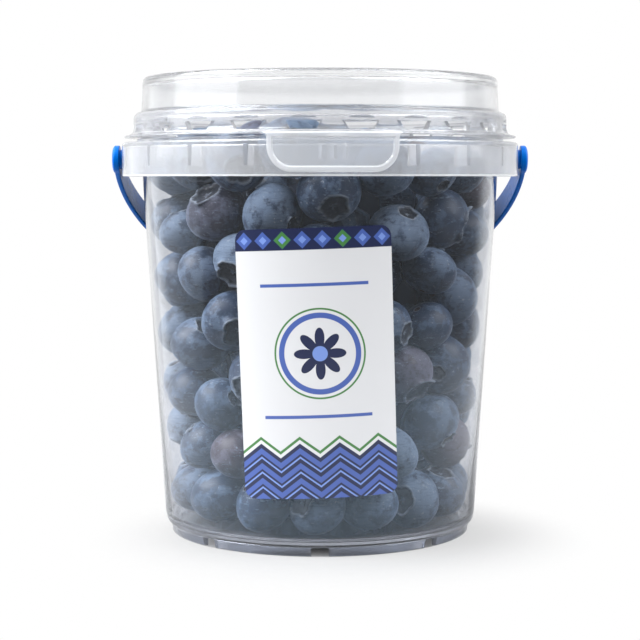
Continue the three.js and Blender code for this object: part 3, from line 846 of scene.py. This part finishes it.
off_x, off_y = calc("SUBTRACT", along, ROSETTE_CENTRE[0]), calc("SUBTRACT", up, ROSETTE_CENTRE[1])
away = calc("SQRT", calc("ADD", calc("MULTIPLY", off_x, off_x), calc("MULTIPLY", off_y, off_y)))
lobe = calc("ABSOLUTE", calc("COSINE", calc("MULTIPLY", calc("ARCTAN2", off_y, off_x), 4.0)))
petals = inside(calc("SUBTRACT", away, calc("MULTIPLY_ADD", lobe, PETAL_REACH, PETAL_ROOT)), 0.0)
heart = inside(away, ROSETTE_HEART)
ring, fine_ring = stripe(away, *RING), stripe(away, *FINE_RING)
rule_length = inside(calc("ABSOLUTE", along), RULE_HALF_LENGTH)
rule_high, rule_low = [both(stripe(up, place, RULE_HALF_HEIGHT), rule_length) for place in RULES]
ink = PAPER
for share, colour in (
        (head_band, NAVY), (both(head_band, diamond), BLUE), (both(head_band, diamond, every_third), GREEN),
        (both(head_band, diamond_heart), PALE_BLUE), (foot_field, NAVY), (both(foot_field, chevron), BLUE),
        (both(foot_field, chevron_fine), PALE_BLUE), (sprig_line, GREEN), (ring, BLUE), (fine_ring, GREEN),
        (petals, NAVY), (heart, PALE_BLUE), (rule_high, BLUE), (rule_low, BLUE)):
    ink = mix_colour(tree, share, ink, colour)
varnish = node(tree, "BsdfPrincipled", {"Base Color": ink, "Roughness": 0.38, "Coat Weight": 0.35,
                                        "Coat Roughness": 0.12})
tree.links.new(varnish.outputs[0], out.inputs["Surface"])
label.data.materials.append(film)
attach(label, "bucket")
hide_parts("label")


# Handle: opaque blue polypropylene, moulded as a springy band. It is pushed over the collar, where a pin
# under a domed disc at each end is pressed into its hole, and it swings on these pins. It hangs at the back.
BAIL_HALF_SPAN = 61.5
BAIL_REACH = 68.2
BAND_THICKNESS = 1.5
BAND_WIDTH = 8
BAND_ROUND = 0.5
BAIL_STATIONS = 96
PIN_SIDES = 64
REST_FROM_DOWN_DEG = 53.4
PIN_OUTLINE = [(0, 56.2, 0), (2.9, 56.2, 0.5), (2.9, 61, 0), (0, 61, 0)]
DISC_OUTLINE = [(0, 60, 0), (4.15, 60, 0.2), (4.15, 61.5, 0.35), (3.3, 62.05, 0.6), (0, 62.2, 0)]
BAND_CORNERS = [
    (0, -BAND_WIDTH / 2, BAND_ROUND),
    (BAND_THICKNESS, -BAND_WIDTH / 2, BAND_ROUND),
    (BAND_THICKNESS, BAND_WIDTH / 2, BAND_ROUND),
    (0, BAND_WIDTH / 2, BAND_ROUND),
]

section = rounded(BAND_CORNERS)
vertices, faces = [], []
for t in np.linspace(0, math.pi, BAIL_STATIONS + 1):
    outer = np.array((BAIL_HALF_SPAN * math.cos(t), -BAIL_REACH * math.sin(t)))
    inner_span, inner_reach = BAIL_HALF_SPAN - BAND_THICKNESS, BAIL_REACH - BAND_THICKNESS
    inner = np.array((inner_span * math.cos(t), -inner_reach * math.sin(t)))
    for thick, across in section:
        x, z = inner + (outer - inner) * thick / BAND_THICKNESS
        vertices.append((x, across, PIVOT_Z + z))
sides = len(section)
for station in range(BAIL_STATIONS):
    for i in range(sides):
        j = (i + 1) % sides
        a = station * sides
        faces.append((a + i, a + sides + i, a + sides + j, a + j))
faces.append(tuple(range(sides)))
faces.append(tuple(BAIL_STATIONS * sides + i for i in range(sides - 1, -1, -1)))
handle = piece("bail_handle", (vertices, faces))
for side in (-1, 1):
    carved(handle, "UNION", turned_along_x(rounded(DISC_OUTLINE), side, PIN_SIDES))
    carved(handle, "UNION", turned_along_x(rounded(PIN_OUTLINE), side, PIN_SIDES))
swing = math.radians(REST_FROM_DOWN_DEG)
points = np.array([v.co for v in handle.data.vertices])
y, z = points[:, 1].copy(), points[:, 2] - PIVOT_Z * MM
points[:, 1] = y * math.cos(swing) - z * math.sin(swing)
points[:, 2] = PIVOT_Z * MM + y * math.sin(swing) + z * math.cos(swing)
handle.data.vertices.foreach_set("co", points.astype(np.float32).reshape(-1))
handle.data.update()
smoothed(handle)

blue, tree, out = material("handle plastic")
place = node(tree, "TexCoord").outputs["Object"]
cloud = node(tree, "TexNoise", {"Vector": place, "Scale": 60.0, "Detail": 3.0}).outputs["Fac"]
grain = node(tree, "TexNoise", {"Vector": place, "Scale": 700.0, "Detail": 2.0}).outputs["Fac"]
dye = mix_colour(tree, cloud, (0.0005, 0.098, 0.43, 1), (0.0007, 0.118, 0.51, 1))
relief = node(tree, "Bump", {"Strength": 0.06, "Distance": 0.0005, "Height": grain})
plastic = node(tree, "BsdfPrincipled", {
    "Base Color": dye, "Roughness": ranged(tree, cloud, 0.3, 0.7, 0.24, 0.36),
    "Specular IOR Level": 0.32, "Specular Tint": (0.1, 0.45, 1.0, 1), "Normal": relief.outputs[0]})
tree.links.new(plastic.outputs[0], out.inputs["Surface"])
handle.data.materials.append(blue)
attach(handle, "handle")
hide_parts("handle")


# Studio: a pale floor, a white room that is dark on the camera's side where it lights or is mirrored, and
# softboxes at both sides, the left ones brighter. The camera stands in front and looks a little down.
FLOOR_HALF = 500
FLOOR_MIRRORED = (0.36, 0.36, 0.365, 1)
FLOOR_SEEN = (0.25, 0.25, 0.255, 1)
MIRRORED_FADE = (0.11, 0.45)
FOOT_SHADE_EDGE = (0.044, 0.0455)
CONTACT_SHADE_FADE = (0.038, 0.076)
CONTACT_SHADE = 0.48
CONTACT_SHADE_SHIFT = (-0.006, 0.015, 0)


def clear_view(tree, steps_of_its_own):
    """1 where the view meets a surface directly or through clear plastic, and 0 for light and mirrors.

    A ray that reaches the world counts one step of its own, and one that reaches a surface none.
    """
    path = node(tree, "LightPath")
    scattered = math_node(tree, "SUBTRACT", path.outputs["Ray Depth"], path.outputs["Transmission Depth"])
    return math_node(tree, "LESS_THAN", scattered, steps_of_its_own + 0.5)


def length(tree, vector):
    """The length of a vector."""
    return node(tree, "VectorMath", {0: vector}, operation="LENGTH").outputs["Value"]


floor_corners = [(x * FLOOR_HALF, y * FLOOR_HALF, 0) for x, y in ((-1, -1), (1, -1), (1, 1), (-1, 1))]
floor = piece("floor", (floor_corners, [(0, 1, 2, 3)]))
pale, tree, out = material("floor")
place = node(tree, "TexCoord").outputs["Object"]
away = length(tree, place)
seen = clear_view(tree, 0)
shifted = node(tree, "VectorMath", {0: place, 1: CONTACT_SHADE_SHIFT}, operation="ADD").outputs[0]
under = ranged(tree, away, *FOOT_SHADE_EDGE, 1.0, 0.0)
contact = ranged(tree, length(tree, shifted), *CONTACT_SHADE_FADE, CONTACT_SHADE, 0.0)
close = math_node(tree, "MAXIMUM", under, contact)
wide = ranged(tree, away, *MIRRORED_FADE, 1.0, 0.0)
cover = node(tree, "Mix", {0: seen, 2: wide, 3: close}).outputs[0]
grey = mix_colour(tree, seen, FLOOR_MIRRORED, FLOOR_SEEN)
ground = node(tree, "BsdfPrincipled", {"Base Color": grey, "Roughness": 0.7, "Alpha": cover})
tree.links.new(ground.outputs[0], out.inputs["Surface"])
floor.data.materials.append(pale)

world = bpy.data.worlds.new("studio")
bpy.context.scene.world = world
world.use_nodes = True
tree = world.node_tree
tree.nodes.clear()
direction = node(tree, "SeparateXYZ", {"Vector": node(tree, "TexCoord").outputs["Generated"]})
behind = ranged(tree, direction.outputs["Y"], 0.5, 0.75, 0.12, 1.0)
overhead = ranged(tree, direction.outputs["Z"], 0.3, 0.8)
above = ranged(tree, direction.outputs["X"], -0.7, 0.7, 1.3, 0.9)
round_about = node(tree, "Mix", {0: overhead, 2: behind, 3: above}).outputs[0]
strength = node(tree, "Mix", {0: clear_view(tree, 1), 2: round_about, 3: 1.0}).outputs[0]
sky = node(tree, "Background", {"Color": (1.0, 1.0, 1.0, 1), "Strength": strength})
tree.links.new(sky.outputs[0], node(tree, "OutputWorld").inputs["Surface"])
AIM_HEIGHT = 0.07
LIGHT_COLOUR = (0.96, 0.98, 1.0)


def softbox(name, turn_deg, distance, height, size, power):
    """A rectangular area light at a turn from the front, aimed at the middle of the bucket."""
    lamp = bpy.data.lights.new(name, "AREA")
    lamp.shape = "RECTANGLE"
    lamp.size, lamp.size_y = size
    lamp.energy = power
    lamp.color = LIGHT_COLOUR
    made = bpy.data.objects.new(name, lamp)
    made.visible_camera = False
    turn = math.radians(turn_deg)
    made.location = (distance * math.sin(turn), -distance * math.cos(turn), height)
    aim = -made.location
    aim.z += AIM_HEIGHT
    made.rotation_euler = aim.to_track_quat("-Z", "Y").to_euler()
    bpy.context.scene.collection.objects.link(made)


softbox("left strip", -78, 0.9, 0.46, (0.92, 0.72), 4.6)
softbox("right strip", 78, 0.9, 0.46, (0.92, 0.72), 3.5)
softbox("left card", -105, 0.30, 0.08, (0.30, 0.16), 0.08)
softbox("left key", -78, 0.62, 0.80, (0.8, 0.8), 24)
softbox("right fill", 72, 0.62, 0.80, (0.8, 0.8), 11)

CAMERA_PLACE = (0, -0.520, 0.105)
CAMERA_DOWN_DEG = 4.64
lens = bpy.data.cameras.new("camera")
lens.sensor_width = 36
lens.lens = 97.1
camera = bpy.data.objects.new("camera", lens)
camera.location = CAMERA_PLACE
camera.rotation_euler = (math.radians(90 - CAMERA_DOWN_DEG), 0, 0)
bpy.context.scene.collection.objects.link(camera)
bpy.context.scene.camera = camera
bpy.context.scene.view_settings.view_transform = "Standard"
paths = bpy.context.scene.cycles
paths.caustics_refractive = paths.caustics_reflective = False
paths.max_bounces = paths.transmission_bounces = 24
paths.glossy_bounces = paths.transparent_max_bounces = 16
